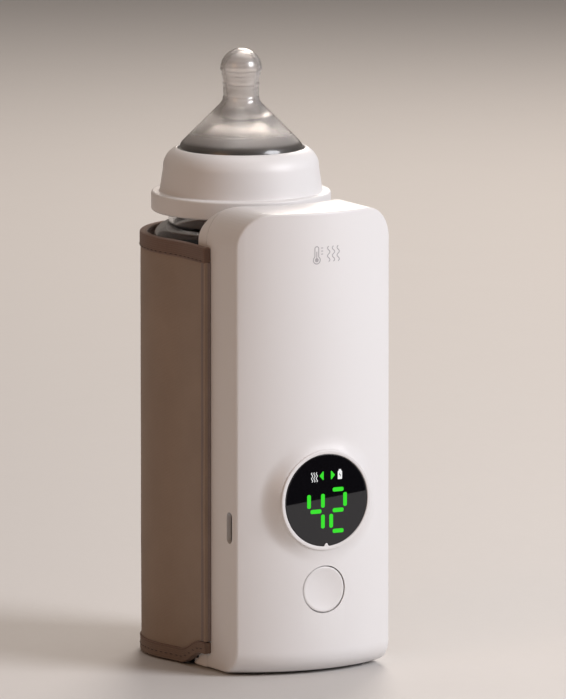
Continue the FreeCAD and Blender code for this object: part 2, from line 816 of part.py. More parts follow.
def bottle_collar():
    node("bottle_collar", revolved("bottle_collar", [
        ("collar_bore", "collar_base"),
        ("collar_flange_radius - 0.8", "collar_base"),
        ("collar_flange_radius", "collar_base + 0.8", "0.8"),
        ("collar_flange_radius", "collar_flange_top - 0.8"),
        ("collar_flange_radius - 0.8", "collar_flange_top", "0.8"),
        ("collar_foot_radius", "collar_flange_top"),
        ("collar_side_radius", "collar_bend_height"),
        ("collar_hole", "collar_top", "collar_bend_radius"),
        ("collar_hole", "collar_lid"),
        ("collar_bore", "collar_lid"),
    ]))


def teat():
    step = "teat_shoulder - teat_step_in"
    inner_bulb = "(bulb_radius - teat_wall)"
    node("teat", revolved("teat", [
        ("teat_shoulder - teat_wall", "teat_flange_low"),
        ("teat_flange", "teat_flange_low"),
        ("teat_flange", "teat_flange_top"),
        ("teat_shoulder", "teat_flange_top"),
        ("teat_shoulder", "teat_step_low"),
        (step, "teat_step_high", "teat_step_bend"),
        ("teat_cone_radius", "teat_cone_top"),
        ("teat_stem", "stem_bend_top", "-stem_bend"),
        ("teat_stem", "stem_foot"),
        ("bulb_radius", "bulb_height", "-bulb_bend"),
        ("0", "bulb_height + bulb_radius", "bulb_radius"),
        ("0", f"bulb_height + {inner_bulb}"),
        (inner_bulb, "bulb_height", f"-{inner_bulb}"),
        ("teat_stem - teat_wall", "stem_foot", "bulb_bend"),
        ("teat_stem - teat_wall", "stem_bend_top - 0.7"),
        ("teat_cone_radius - 1.07", "teat_cone_top - 1.1", "stem_bend + teat_wall"),
        (f"{step} - 1.1", "teat_step_high - 1.1"),
        ("teat_shoulder - teat_wall", "teat_step_low", "-(teat_step_bend - teat_wall)"),
    ]))


# ---------------------------------------------------------------- whole object

def check_document():
    for item in doc.Objects:
        if "Invalid" in item.State or "Error" in item.State:
            raise RuntimeError(f"{item.Name} did not compute: {item.State}")
    for item in nodes:
        if item.Shape.isNull() or not item.Shape.isValid() or not item.Shape.Solids:
            raise RuntimeError(f"{item.Label} has no valid solid")


def write_parts():
    os.makedirs("parts", exist_ok=True)
    for item in nodes:
        item.Shape.exportStep(os.path.join("parts", item.Label + ".step"))


def main():
    fill_sheet()
    front_shell()
    rear_shell()
    rubber_feet()
    housing_screws()
    display_lens()
    display_digits()
    display_icons()
    display_module()
    button_cap()
    tact_switch()
    main_board()
    usb_port()
    battery_pack()
    battery_leads()
    heating_module()
    sleeve()
    bottle()
    bottle_collar()
    teat()
    doc.recompute()
    check_document()
    write_parts()


main()
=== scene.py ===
import math

import bmesh
import bpy
from mathutils import Matrix, Vector, noise


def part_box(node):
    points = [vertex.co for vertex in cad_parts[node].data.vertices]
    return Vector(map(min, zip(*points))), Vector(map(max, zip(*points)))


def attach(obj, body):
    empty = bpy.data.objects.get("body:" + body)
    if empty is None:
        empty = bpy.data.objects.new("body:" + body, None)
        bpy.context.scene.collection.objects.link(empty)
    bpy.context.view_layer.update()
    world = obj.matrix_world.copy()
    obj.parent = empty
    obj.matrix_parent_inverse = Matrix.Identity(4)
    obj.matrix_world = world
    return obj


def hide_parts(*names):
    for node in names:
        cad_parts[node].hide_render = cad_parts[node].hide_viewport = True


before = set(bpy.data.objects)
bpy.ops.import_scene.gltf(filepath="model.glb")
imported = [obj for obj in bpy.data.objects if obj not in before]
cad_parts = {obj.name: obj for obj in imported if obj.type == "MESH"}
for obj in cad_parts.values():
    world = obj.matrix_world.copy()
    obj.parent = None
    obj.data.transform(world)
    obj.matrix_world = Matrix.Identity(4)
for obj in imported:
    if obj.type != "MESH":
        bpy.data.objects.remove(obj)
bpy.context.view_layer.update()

# A portable bottle warmer, dressed around its CAD frame: moulded housing, lit display, button,
# fabric sleeve, clear bottle, white collar and silicone teat. Lengths are metres.
MM = 0.001
RIGHT, BACK, UP = Vector((1, 0, 0)), Vector((0, 1, 0)), Vector((0, 0, 1))

# Places read from the frame.
shell_low, shell_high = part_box("front_shell")
lens_low, lens_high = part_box("display_lens")
cap_low, cap_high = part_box("button_cap")
sleeve_low, sleeve_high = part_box("sleeve_outer")
hem_low, hem_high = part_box("sleeve_bottom_trim")
band_low, band_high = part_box("sleeve_top_trim")
bottle_low, bottle_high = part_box("bottle")
collar_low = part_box("bottle_collar")[0]
teat_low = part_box("teat")[0]
port_low, port_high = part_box("usb_socket")

AXIS_Y = (bottle_low.y + bottle_high.y) / 2
HALF_WIDTH = shell_high.x
SEAM_Y = shell_high.y
RIM_Y = shell_low.y
LENS = Vector((0, lens_low.y, (lens_low.z + lens_high.z) / 2))
LENS_RADIUS = lens_high.x
BUTTON = Vector((0, cap_low.y, (cap_low.z + cap_high.z) / 2))

# The housing's own curves.
FRONT_RADIUS = 59 * MM
FRONT_Y = RIM_Y + 1.4 * MM
FRONT_CENTRE_Y = FRONT_Y + FRONT_RADIUS
BACK_RADIUS = 40.7 * MM
WALL = 1.8 * MM
CORNER = 12.5 * MM
TOE = 8.5 * MM
SOFT_EDGE = 0.8 * MM
SEAM_BREAK = 0.3 * MM
# Wider than the soft edge, so that rounding an edge never folds the strip beside it.
STRIP = 0.9 * MM


# ---------------------------------------------------------------- nodes

FLOAT, COLOR = "NodeSocketFloat", "NodeSocketColor"


def add_node(tree, kind, values=None, **settings):
    """A node with its settings, and its inputs given as numbers or as sockets to link."""
    item = tree.nodes.new(kind)
    for key, value in settings.items():
        setattr(item, key, value)
    for key, value in (values or {}).items():
        if isinstance(value, bpy.types.NodeSocket):
            tree.links.new(value, item.inputs[key])
        else:
            item.inputs[key].default_value = value
    return item


def feed(tree, item, sockets):
    """Link each socket to the node's input of that name."""
    for label, socket in sockets.items():
        tree.links.new(socket, item.inputs[label])


def maths(tree, operation, *values):
    return add_node(tree, "ShaderNodeMath", dict(enumerate(values)), operation=operation).outputs[0]


def speckle(tree, place, scale, detail):
    """Soft noise at a scale."""
    return add_node(tree, "ShaderNodeTexNoise",
                    {"Vector": place, "Scale": scale, "Detail": detail}).outputs["Fac"]


def spread(tree, value, to_low, to_high, low=0.0, high=1.0):
    """A value moved from one range to another, and kept inside it."""
    return add_node(tree, "ShaderNodeMapRange",
                    {"Value": value, "From Min": low, "From Max": high,
                     "To Min": to_low, "To Max": to_high}).outputs["Result"]


def blend(tree, share, first, second):
    """One colour that passes into another."""
    return add_node(tree, "ShaderNodeMix", {"Factor": share, 6: first, 7: second},
                    data_type="RGBA", clamp_factor=True).outputs[2]


def relief(tree, shader, height, depth, strength=1.0):
    """Fine relief in a surface, its depth in millimetres."""
    bump = add_node(tree, "ShaderNodeBump",
                    {"Strength": strength, "Distance": depth * MM, "Height": height})
    feed(tree, shader, {"Normal": bump.outputs["Normal"]})


def rgba(color):
    return (*color, 1.0)


def new_group(name, inputs, outputs):
    """A node group, with the sockets that it is given and the node that takes what it made."""
    group = bpy.data.node_groups.new(name, "ShaderNodeTree")
    for label, kind, value in inputs:
        socket = group.interface.new_socket(label, in_out="INPUT", socket_type=kind)
        socket.default_value = value
    for label, kind in outputs:
        group.interface.new_socket(label, in_out="OUTPUT", socket_type=kind)
    return group, add_node(group, "NodeGroupInput").outputs, add_node(group, "NodeGroupOutput")


def make_surface_group():
    """Colour drift, uneven gloss and fine grain, for anything moulded, cast or rolled."""
    group, given, made = new_group(
        "moulded surface",
        [("Color", COLOR, rgba((0.8, 0.8, 0.8))), ("Drift Color", COLOR, rgba((0.7, 0.7, 0.7))),
         ("Drift", FLOAT, 0.3), ("Roughness", FLOAT, 0.4), ("Unevenness", FLOAT, 0.1),
         ("Grain Scale", FLOAT, 2500.0)],
        [("Color", COLOR), ("Roughness", FLOAT), ("Height", FLOAT)])
    place = add_node(group, "ShaderNodeTexCoord").outputs["Object"]
    share = maths(group, "MULTIPLY", speckle(group, place, 28.0, 3.0), given["Drift"])
    uneven = maths(group, "SUBTRACT", speckle(group, place, 210.0, 4.0), 0.5)
    feed(group, made, {
        "Color": blend(group, share, given["Color"], given["Drift Color"]),
        "Roughness": maths(group, "MULTIPLY_ADD", uneven, given["Unevenness"], given["Roughness"]),
        "Height": speckle(group, place, given["Grain Scale"], 2.0)})
    return group


def make_edge_highlight_group():
    """Lightens the raised edges of a moulding: a painted highlight, where light catches them."""
    group, given, made = new_group(
        "painted edge highlight",
        [("Color", COLOR, rgba((0.8, 0.8, 0.8))), ("Highlight Color", COLOR, rgba((0.9, 0.9, 0.9))),
         ("Amount", FLOAT, 0.4)],
        [("Color", COLOR)])
    ridge = add_node(group, "ShaderNodeNewGeometry").outputs["Pointiness"]
    edge = spread(group, ridge, 0.0, given["Amount"], 0.52, 0.6)
    feed(group, made, {"Color": blend(group, edge, given["Color"], given["Highlight Color"])})
    return group


def make_weave_group():
    """A fine plain weave on the cloth's own map, with uneven yarns and a soft mottle."""
    group, given, made = new_group(
        "woven cloth",
        [("Color", COLOR, rgba((0.3, 0.25, 0.22))), ("Shadow Color", COLOR, rgba((0.15, 0.12, 0.1))),
         ("Thread Scale", FLOAT, 330.0), ("Mottle", FLOAT, 0.5)],
        [("Color", COLOR), ("Height", FLOAT), ("Roughness", FLOAT)])
    cloth = add_node(group, "ShaderNodeUVMap", uv_map="cloth").outputs["UV"]
    place = add_node(group, "ShaderNodeTexCoord").outputs["Object"]
    yarns = [add_node(group, "ShaderNodeTexWave",
                      {"Vector": cloth, "Scale": given["Thread Scale"], "Distortion": 1.2,
                       "Detail": 1.0, "Detail Scale": 4.0},
                      bands_direction=direction).outputs["Fac"] for direction in "XY"]
    weave = maths(group, "MULTIPLY", *yarns)
    fuzz = speckle(group, place, 1400.0, 3.0)
    mottle = maths(group, "MULTIPLY", speckle(group, place, 55.0, 4.0), given["Mottle"])
    depth = maths(group, "MULTIPLY_ADD", weave, 0.55, mottle)
    feed(group, made, {
        "Color": blend(group, depth, given["Shadow Color"], given["Color"]),
        "Height": maths(group, "MULTIPLY_ADD", fuzz, 0.6, weave),
        "Roughness": spread(group, fuzz, 0.78, 0.98)})
    return group


SURFACE = make_surface_group()
EDGE_HIGHLIGHT = make_edge_highlight_group()
WEAVE = make_weave_group()


# ---------------------------------------------------------------- materials

def new_material(name, **sockets):
    """A material with its Principled shader, whose plain values are set on its own sockets."""
    material = bpy.data.materials.new(name)
    material.use_nodes = True
    shader = material.node_tree.nodes["Principled BSDF"]
    for label, value in sockets.items():
        label = label.replace("_", " ").title().replace("Ior", "IOR")
        shader.inputs[label].default_value = value
    return material, material.node_tree, shader


def moulded(name, color, drift_color=None, drift=0.35, roughness=0.4, unevenness=0.12,
            grain_scale=2500.0, grain_depth=0.01, edge_highlight_color=None, **sockets):
    """Plastic, rubber or metal: drift, uneven gloss and grain, with a painted highlight on raised
    edges where asked.
    """
    material, tree, shader = new_material(name, **sockets)
    surface = add_node(tree, "ShaderNodeGroup", {
        "Color": rgba(color), "Drift Color": rgba(drift_color or [c * 0.9 for c in color]),
        "Drift": drift, "Roughness": roughness, "Unevenness": unevenness,
        "Grain Scale": grain_scale}, node_tree=SURFACE).outputs
    base = surface["Color"]
    # A painted highlight lightens the raised edges.
    if edge_highlight_color:
        base = add_node(tree, "ShaderNodeGroup", {"Color": base, "Highlight Color": rgba(edge_highlight_color)},
                        node_tree=EDGE_HIGHLIGHT).outputs["Color"]
    feed(tree, shader, {"Base Color": base, "Roughness": surface["Roughness"]})
    relief(tree, shader, surface["Height"], grain_depth)
    return material


def woven(name, color, shadow, thread_scale, mottle, depth, **sockets):
    """Cloth in a plain weave, darker between its yarns."""
    material, tree, shader = new_material(name, **sockets)
    weave = add_node(tree, "ShaderNodeGroup", {
        "Color": rgba(color), "Shadow Color": rgba(shadow), "Thread Scale": thread_scale,
        "Mottle": mottle}, node_tree=WEAVE).outputs
    feed(tree, shader, {"Base Color": weave["Color"], "Roughness": weave["Roughness"]})
    relief(tree, shader, weave["Height"], depth, 0.8)
    return material


def clear_plastic():
    """The bottle's clear plastic, with a slightly uneven gloss."""
    material, tree, shader = new_material("clear bottle", transmission_weight=1.0, ior=1.46,
                                          base_color=rgba((0.985, 0.99, 0.99)))
    surface = add_node(tree, "ShaderNodeGroup",
                       {"Roughness": 0.02, "Unevenness": 0.02, "Grain Scale": 900.0},
                       node_tree=SURFACE).outputs
    feed(tree, shader, {"Roughness": surface["Roughness"]})
    relief(tree, shader, surface["Height"], 0.004)
    return material


def silicone():
    """Clear silicone: ringed bulb, grained foot, and painted shade low on its foot, where the collar
    shadows it.
    """
    material, tree, shader = new_material("clear silicone", transmission_weight=0.88, ior=1.41,
                                          coat_weight=0.7, coat_roughness=0.1)
    place = add_node(tree, "ShaderNodeTexCoord").outputs["Object"]
    height = add_node(tree, "ShaderNodeSeparateXYZ", {"Vector": place}).outputs["Z"]
    foot, waist = teat_low.z + 6.2 * MM, teat_low.z + 11.5 * MM
    clear_of_painted_shade = spread(tree, height, 0.0, 1.0, foot, foot + 0.9 * MM)
    grained = spread(tree, height, 1.0, 0.4, foot, waist)
    ringed = spread(tree, height, 0.03, 0.6, waist + 6 * MM, waist + 14 * MM)
    rings = add_node(tree, "ShaderNodeTexWave",
                     {"Vector": place, "Scale": 200.0, "Distortion": 5.0, "Detail": 3.0,
                      "Detail Scale": 1.5}, bands_direction="Z").outputs["Fac"]
    grain = maths(tree, "MULTIPLY", speckle(tree, place, 2600.0, 2.0), grained)
    feed(tree, shader, {
        # Painted shade: dark grey below the foot line, for the shadow inside the collar.
        "Base Color": blend(tree, clear_of_painted_shade, rgba((0.28, 0.265, 0.25)), rgba((0.96, 0.94, 0.925))),
        "Roughness": spread(tree, grained, 0.16, 0.34)})
    relief(tree, shader, maths(tree, "MULTIPLY_ADD", rings, ringed, grain), 0.06, 0.9)
    return material


def glowing(name, color, edge_color):
    """A lit window whose glow drifts a little from place to place."""
    material, tree, shader = new_material(name, emission_strength=0.95,
                                          base_color=rgba([tone * 0.1 for tone in edge_color]))
    surface = add_node(tree, "ShaderNodeGroup", {
        "Color": rgba(color), "Drift Color": rgba(edge_color), "Drift": 0.25, "Roughness": 0.3},
        node_tree=SURFACE).outputs
    feed(tree, shader, {"Emission Color": surface["Color"], "Roughness": surface["Roughness"]})
    return material


# The third white is a painted highlight for raised edges.
WHITE, WHITE_DRIFT, WHITE_EDGE_HIGHLIGHT = (0.80, 0.785, 0.78), (0.77, 0.75, 0.74), (0.86, 0.85, 0.84)
CASE_BLACK, BOARD_GREEN, HOLDER_GREY = (0.02, 0.02, 0.022), (0.02, 0.16, 0.07), (0.16, 0.16, 0.17)

WHITE_PLASTIC = moulded("white satin plastic", WHITE, WHITE_DRIFT, 0.4, 0.36, 0.08, 3000.0, 0.006,
                        edge_highlight_color=WHITE_EDGE_HIGHLIGHT)
REAR_PLASTIC = moulded("white rear plastic", WHITE, WHITE_DRIFT, 0.4, 0.4, 0.08, 3000.0, 0.006)
COLLAR_PLASTIC = moulded("white collar plastic", WHITE, (0.77, 0.755, 0.745), 0.4, 0.42, 0.1,
                         2600.0, 0.008, edge_highlight_color=WHITE_EDGE_HIGHLIGHT)
LENS_GLOSS = moulded("tinted lens", (0.004, 0.004, 0.005), (0.006, 0.005, 0.007), 0.5, 0.012, 0.008,
                     400.0, 0.0001)
LIT_GREEN = glowing("lit green", (0.022, 0.78, 0.008), (0.01, 0.55, 0.004))
LIT_WHITE = glowing("lit white", (0.9, 0.9, 0.9), (0.7, 0.72, 0.75))
PRINT_GREY = moulded("grey print", (0.40, 0.385, 0.40), (0.5, 0.48, 0.5), 0.6, 0.5, 0.1, 4000.0, 0.004)
SLEEVE_CLOTH = woven("sleeve cloth", (0.375, 0.278, 0.210), (0.235, 0.172, 0.130), 620.0, 0.6, 0.03,
                     sheen_weight=0.15)
LINING_CLOTH = woven("lining cloth", (0.028, 0.03, 0.042), (0.012, 0.013, 0.02), 420.0, 0.5, 0.04,
                     sheen_weight=0.15)
TRIM_CLOTH = woven("binding cloth", (0.225, 0.142, 0.104), (0.130, 0.080, 0.060), 420.0, 0.5, 0.05,
                   sheen_weight=0.12)
HEM_CLOTH = woven("hem cloth", (0.265, 0.182, 0.138), (0.155, 0.105, 0.080), 420.0, 0.5, 0.05,
                  sheen_weight=0.12)
# The sleeve cloth again, darker and bluer: painted shade on the folded ends, which face away from the
# light.
SHADED_FOLD_CLOTH = woven("shaded fold cloth", (0.290, 0.225, 0.200), (0.175, 0.136, 0.125), 620.0, 0.5, 0.03,
                   sheen_weight=0.12)
THREAD = moulded("sewing thread", (0.085, 0.063, 0.053), (0.05, 0.038, 0.03), 0.6, 0.75, 0.1,
                 5000.0, 0.02)
BOTTLE_CLEAR = clear_plastic()
TEAT_SILICONE = silicone()
FELT = woven("insulation felt", (0.3, 0.3, 0.3), (0.15, 0.15, 0.15), 200.0, 0.9, 0.15)
CAD_LOOKS = {
    "rear_shell": REAR_PLASTIC,
    "rubber_feet": moulded("foot rubber", (0.1, 0.1, 0.1), roughness=0.7, grain_depth=0.03),
    "housing_screws": moulded("plated screws", (0.5, 0.5, 0.52), roughness=0.3, metallic=1.0),
    "display_module": moulded("module case", CASE_BLACK, roughness=0.55, grain_depth=0.02),
    "display_board": moulded("display board", BOARD_GREEN, roughness=0.35),
    "display_header": moulded("header case", CASE_BLACK, roughness=0.5),
    "main_board": moulded("main board", BOARD_GREEN, (0.03, 0.2, 0.09), roughness=0.35),
    "switch_body": moulded("switch case", (0.03, 0.03, 0.03), roughness=0.5),
    "switch_stem": moulded("switch stem", (0.5, 0.45, 0.38), roughness=0.5),
    "usb_socket": moulded("port shell", (0.24, 0.23, 0.25), (0.18, 0.17, 0.19), roughness=0.4,
                          metallic=1.0),
    "usb_tongue": moulded("port tongue", (0.015, 0.015, 0.017), roughness=0.45),
    "battery_cells": moulded("cell wrap", (0.05, 0.16, 0.34), roughness=0.3),
    "battery_holder_lower": moulded("lower holder", HOLDER_GREY, roughness=0.6, grain_depth=0.03),
    "battery_holder_upper": moulded("upper holder", HOLDER_GREY, roughness=0.6, grain_depth=0.03),
    "nickel_strips": moulded("nickel", (0.66, 0.64, 0.6), roughness=0.3, metallic=1.0),
    "battery_leads": moulded("battery wire", (0.4, 0.02, 0.015), roughness=0.5),
    "heater_leads": moulded("heater wire", (0.3, 0.02, 0.015), roughness=0.5),
    "heating_plate": moulded("plate aluminium", (0.72, 0.72, 0.73), (0.55, 0.55, 0.57),
                             roughness=0.35, metallic=1.0),
    "temperature_sensor": moulded("sensor cap", (0.5, 0.5, 0.5), roughness=0.25, metallic=1.0),
    "heater_film": moulded("heater film", (0.5, 0.22, 0.04), roughness=0.25),
    "sleeve_anchor_strips": moulded("anchor strip", (0.04, 0.04, 0.045), roughness=0.6,
                                    grain_depth=0.03),
}


# ---------------------------------------------------------------- outlines and profiles

def arc(centre, radius, start, end, steps):
    """Points along an arc, angles in degrees."""
    turns = [math.radians(start + (end - start) * i / steps) for i in range(steps + 1)]
    return [(centre[0] + radius * math.cos(t), centre[1] + radius * math.sin(t)) for t in turns]


def rounded(points, steps=6, closed=True):
    """A flat outline whose corners, given as (across, up, radius), are turned into arcs."""
    count = len(points)
    made = []
    for i, (x, y, radius) in enumerate(points):
        here = Vector((x, y))
        inner = 0 < i < count - 1
        if radius <= 0 or not (closed or inner):
            made.append((x, y))
            continue
        to_last = (Vector(points[i - 1][:2]) - here).normalized()
        to_next = (Vector(points[(i + 1) % count][:2]) - here).normalized()
        half = to_last.angle(to_next) / 2
        reach = radius / math.tan(half)
        centre = here + (to_last + to_next).normalized() * (radius / math.sin(half))
        start = here + to_last * reach - centre
        turn = start.angle_signed(here + to_next * reach - centre)
        for k in range(steps + 1):
            spot = centre + Matrix.Rotation(-turn * k / steps, 2) @ start
            made.append((spot.x, spot.y))
    return made


def turned(points, steps=8):
    """A profile through (radius, up) points, with arcs to those that also give a radius."""
    made = []
    for i, point in enumerate(points):
        spot = Vector(point[:2])
        if len(point) > 2:
            start, radius = Vector(points[i - 1][:2]), point[2]
            chord = spot - start
            left = Vector((-chord.y, chord.x)).normalized()
            rise = math.sqrt(max(radius ** 2 - (chord.length / 2) ** 2, 0))
            centre = (start + spot) / 2 + left * math.copysign(rise, radius)
            sweep = math.copysign((start - centre).angle(spot - centre), radius)
            for k in range(1, steps):
                turn = Matrix.Rotation(sweep * k / steps, 2)
                made.append(tuple(centre + turn @ (start - centre)))
        made.append(tuple(spot))
    return made


def scaled(profile, low=0.0):
    """A profile in millimetres as metres, lifted by low."""
    return [(radius * MM, low + up * MM) for radius, up in profile]


# ---------------------------------------------------------------- mesh helpers

def moved_verts(made):
    return [v for v in made["geom"] if isinstance(v, bmesh.types.BMVert)]


def face_out(bm):
    bmesh.ops.recalc_face_normals(bm, faces=bm.faces)


def ring_edges(bm, spots, closed=True):
    """Vertices at the spots, joined in order."""
    verts = [bm.verts.new(spot) for spot in spots]
    pairs = list(zip(verts, verts[1:])) + ([(verts[-1], verts[0])] if closed else [])
    return verts, [bm.edges.new(pair) for pair in pairs]


def slab(bm, spots, shift):
    """A closed slab between a flat face on the spots and the same face moved by shift."""
    face = bm.faces.new([bm.verts.new(spot) for spot in spots])
    made = bmesh.ops.extrude_face_region(bm, geom=[face])
    bmesh.ops.translate(bm, verts=moved_verts(made), vec=shift)
    return bm


def cut_rows(bm, axis, places):
    """Score the whole mesh across an axis at each place, so that it can bend there."""
    for place in places:
        bmesh.ops.bisect_plane(bm, geom=bm.verts[:] + bm.edges[:] + bm.faces[:], dist=1e-7,
                               plane_co=axis * place, plane_no=axis)


def bevel(bm, edges, offset, segments):
    """Round some edges over."""
    bmesh.ops.bevel(bm, geom=edges, offset=offset, offset_type="OFFSET", segments=segments,
                    profile=0.5, affect="EDGES", material=-1)


def lathe(profile, centre, axis="z", steps=128):
    """A turned shape from (radius, along) points about an upright axis, or one along -Y."""
    bm = bmesh.new()
    verts, edges = ring_edges(bm, [Vector((r, 0, h)) for r, h in profile])
    bmesh.ops.spin(bm, geom=verts + edges, cent=(0, 0, 0), axis=(0, 0, 1), dvec=(0, 0, 0),
                   angle=2 * math.pi, steps=steps, use_merge=True, use_duplicate=False)
    bmesh.ops.remove_doubles(bm, verts=bm.verts, dist=1e-6)
    on_axis = [e for e in bm.edges if not e.link_faces]
    bmesh.ops.delete(bm, geom=on_axis, context="EDGES")
    face_out(bm)
    turn = Matrix.Rotation(math.pi / 2, 4, "X") if axis == "y" else Matrix()
    bmesh.ops.transform(bm, matrix=Matrix.Translation(centre) @ turn, verts=bm.verts)
    return bm


def map_cloth(bm, place):
    """Give the mesh its own cloth map, with each vertex's place on it."""
    cloth = bm.loops.layers.uv.new("cloth")
    for face in bm.faces:
        for loop in face.loops:
            loop[cloth].uv = place(loop.vert)


def plain_object(name, bm):
    mesh = bpy.data.meshes.new(name)
    bm.to_mesh(mesh)
    bm.free()
    item = bpy.data.objects.new(name, mesh)
    bpy.context.scene.collection.objects.link(item)
    return item


def piece(name, bm, material, body, replaced=(), sharp=38, modifiers=()):
    """Finish a mesh as a piece that rides on a body and stands for CAD nodes."""
    item = plain_object(name, bm)
    mesh = item.data
    mesh.materials.append(material)
    mesh.polygons.foreach_set("use_smooth", [True] * len(mesh.polygons))
    mesh.set_sharp_from_angle(angle=math.radians(sharp))
    for kind, settings in modifiers:
        modifier = item.modifiers.new(kind.title(), kind)
        for key, value in settings.items():
            setattr(modifier, key, value)
    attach(item, body)
    if replaced:
        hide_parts(*replaced)
    return item


def carve(bm, cutters):
    """The mesh with each cutter's shape taken out of it."""
    item = plain_object("carving", bm)
    tools = [plain_object(f"cutter_{i}", cutter) for i, cutter in enumerate(cutters)]
    for tool in tools:
        cut = item.modifiers.new("Cut", "BOOLEAN")
        cut.operation, cut.solver, cut.object = "DIFFERENCE", "EXACT", tool
    bpy.context.view_layer.update()
    graph = bpy.context.evaluated_depsgraph_get()
    result = bmesh.new()
    result.from_object(item, graph)
    for thing in [item, *tools]:
        bpy.data.objects.remove(thing)
    bmesh.ops.remove_doubles(result, verts=result.verts, dist=1e-6)
    gaps = [e for e in result.edges if e.is_boundary]
    bmesh.ops.holes_fill(result, edges=gaps, sides=4)
    return result


# ---------------------------------------------------------------- housing

def front_y(x, inset=0.0):
    """Where the convex front lies, at a distance from its middle."""
    return FRONT_CENTRE_Y - math.sqrt((FRONT_RADIUS - inset) ** 2 - x ** 2)


def housing_form(inset, back_y, strip, rows=()):
    """The housing's outer form as one closed solid, drawn in by inset except at the back."""
    half, low, high = HALF_WIDTH - inset, shell_low.z + inset, shell_high.z - inset
    corner = CORNER - inset
    edge_y = front_y(half, inset)
    outline = [(-half, low), (half, low)]
    outline += arc((half - corner, high - corner), corner, 0, 90, 14)
    outline += arc((corner - half, high - corner), corner, 90, 180, 14)
    bm = slab(bmesh.new(), [(x, back_y, z) for x, z in outline], (0, edge_y - back_y, 0))
    count = math.ceil(2 * half / strip)
    cut_rows(bm, RIGHT, [-half + 2 * half * i / count for i in range(1, count)])
    cut_rows(bm, UP, rows)
    for v in bm.verts:
        if abs(v.co.y - edge_y) < 1e-6:
            v.co.y = front_y(v.co.x, inset)
    bmesh.ops.remove_doubles(bm, verts=bm.verts, dist=1e-6)
    toe = [e for e in bm.edges
           if all(abs(v.co.z - low) < 1e-6 and abs(v.co.y - front_y(v.co.x, inset)) < 1e-6
                  for v in e.verts)]
    bevel(bm, toe, TOE - inset, 10)
    face_out(bm)
    return bm


def soften(bm):
    """Round the crisp edges of the housing's form, all but those along the seam."""
    crisp = [e for e in bm.edges if e.calc_face_angle(0) > math.radians(30)
             and not all(abs(v.co.y - SEAM_Y) < 1e-6 for v in e.verts)]
    bevel(bm, crisp, SOFT_EDGE, 4)


def break_seam(bm):
    """Draw the form's outline in at the seam, which leaves a fine groove there."""
    cut_rows(bm, BACK, [SEAM_Y - SEAM_BREAK])
    middle = (shell_low.z + shell_high.z) / 2
    for v in bm.verts:
        if v.co.y > SEAM_Y - 1e-6:
            v.co.x *= 1 - SEAM_BREAK / HALF_WIDTH
            v.co.z = middle + (v.co.z - middle) * (1 - SEAM_BREAK / (shell_high.z - middle))


def raise_flare(bm):
    """Sweep the front up to the display's rim, as one smooth hollow curve."""
    foot, width, level = 18.2 * MM, 5.4 * MM, RIM_Y + 0.5 * MM
    for v in bm.verts:
        reach = math.hypot(v.co.x - LENS.x, v.co.z - LENS.z)
        if v.co.y > front_y(v.co.x) + 0.3 * MM or reach > foot + width:
            continue
        share = min(max((reach - foot) / width, 0), 1)
        v.co.y += (level - v.co.y) * (1 - share) ** 1.9


def peg(centre, radius, front, back):
    """A round cutter along Y."""
    return lathe([(0, -front), (radius, -front), (radius, -back), (0, -back)],
                 Vector((centre.x, 0, centre.z)), "y", 96)


def port_cutter():
    """A slot with round ends through the left wall."""
    half_width, half_length = 2.0 * MM, 5.75 * MM
    straight = half_length - half_width
    middle_y, middle_z = (port_low.y + port_high.y) / 2, (port_low.z + port_high.z) / 2
    loop = arc((0, straight), half_width, 0, 180, 16) + arc((0, -straight), half_width, 180, 360, 16)
    spots = [(-HALF_WIDTH - 1 * MM, middle_y + a, middle_z + b) for a, b in loop]
    bm = slab(bmesh.new(), spots, (WALL + 1.6 * MM, 0, 0))
    face_out(bm)
    return bm


def front_shell():
    """The front half of the housing, hollow, with its seat, button hole and port slot."""
    span, step = 26 * MM, 0.8 * MM
    rows = [LENS.z - span + step * i for i in range(int(2 * span / step) + 1)]
    outer = housing_form(0, SEAM_Y, STRIP, rows)
    soften(outer)
    break_seam(outer)
    raise_flare(outer)
    hollow = housing_form(WALL, SEAM_Y + 1 * MM, 3 * MM)
    below, above = -5 * MM, shell_high.z + 10 * MM
    back = lathe([(0, below), (BACK_RADIUS, below), (BACK_RADIUS, above), (0, above)],
                 Vector((0, AXIS_Y, 0)), "z", 160)
    seat = peg(LENS, 17.9 * MM, RIM_Y - 1 * MM, RIM_Y + 4.5 * MM)
    button_hole = peg(BUTTON, 8.65 * MM, FRONT_Y - 1 * MM, FRONT_Y + 4 * MM)
    bm = carve(outer, [hollow, back, seat, button_hole, port_cutter()])
    piece("front_shell_skin", bm, WHITE_PLASTIC, "warmer", ["front_shell"], sharp=32)


# ---------------------------------------------------------------- display

def display_rim():
    """The ring that frames the lens."""
    outer, inner = 18.25 * MM, LENS_RADIUS + 0.03 * MM
    neck, step, depth = 17.85 * MM, -0.62 * MM, -2.2 * MM
    profile = rounded([(inner, depth, 0), (inner, 0, 0.35 * MM), (outer, 0, 0.5 * MM),
                       (outer, step, 0), (neck, step, 0), (neck, depth, 0)])
    bm = lathe(profile, Vector((0, RIM_Y, LENS.z)), "y", 160)
    piece("display_rim", bm, WHITE_PLASTIC, "warmer")


def rim_index_mark():
    """The small raised mark at the foot of the rim."""
    low = LENS.z - LENS_RADIUS
    corners = [(-1.25, -0.25), (1.25, -0.25), (0.3, 1.15), (-0.3, 1.15)]
    spots = [(x * MM, RIM_Y + 0.9 * MM, low + z * MM) for x, z in corners]
    bm = slab(bmesh.new(), spots, (0, -0.85 * MM, 0))
    face_out(bm)
    bevel(bm, bm.edges[:], 0.18 * MM, 3)
    piece("rim_index_mark", bm, WHITE_PLASTIC, "warmer")


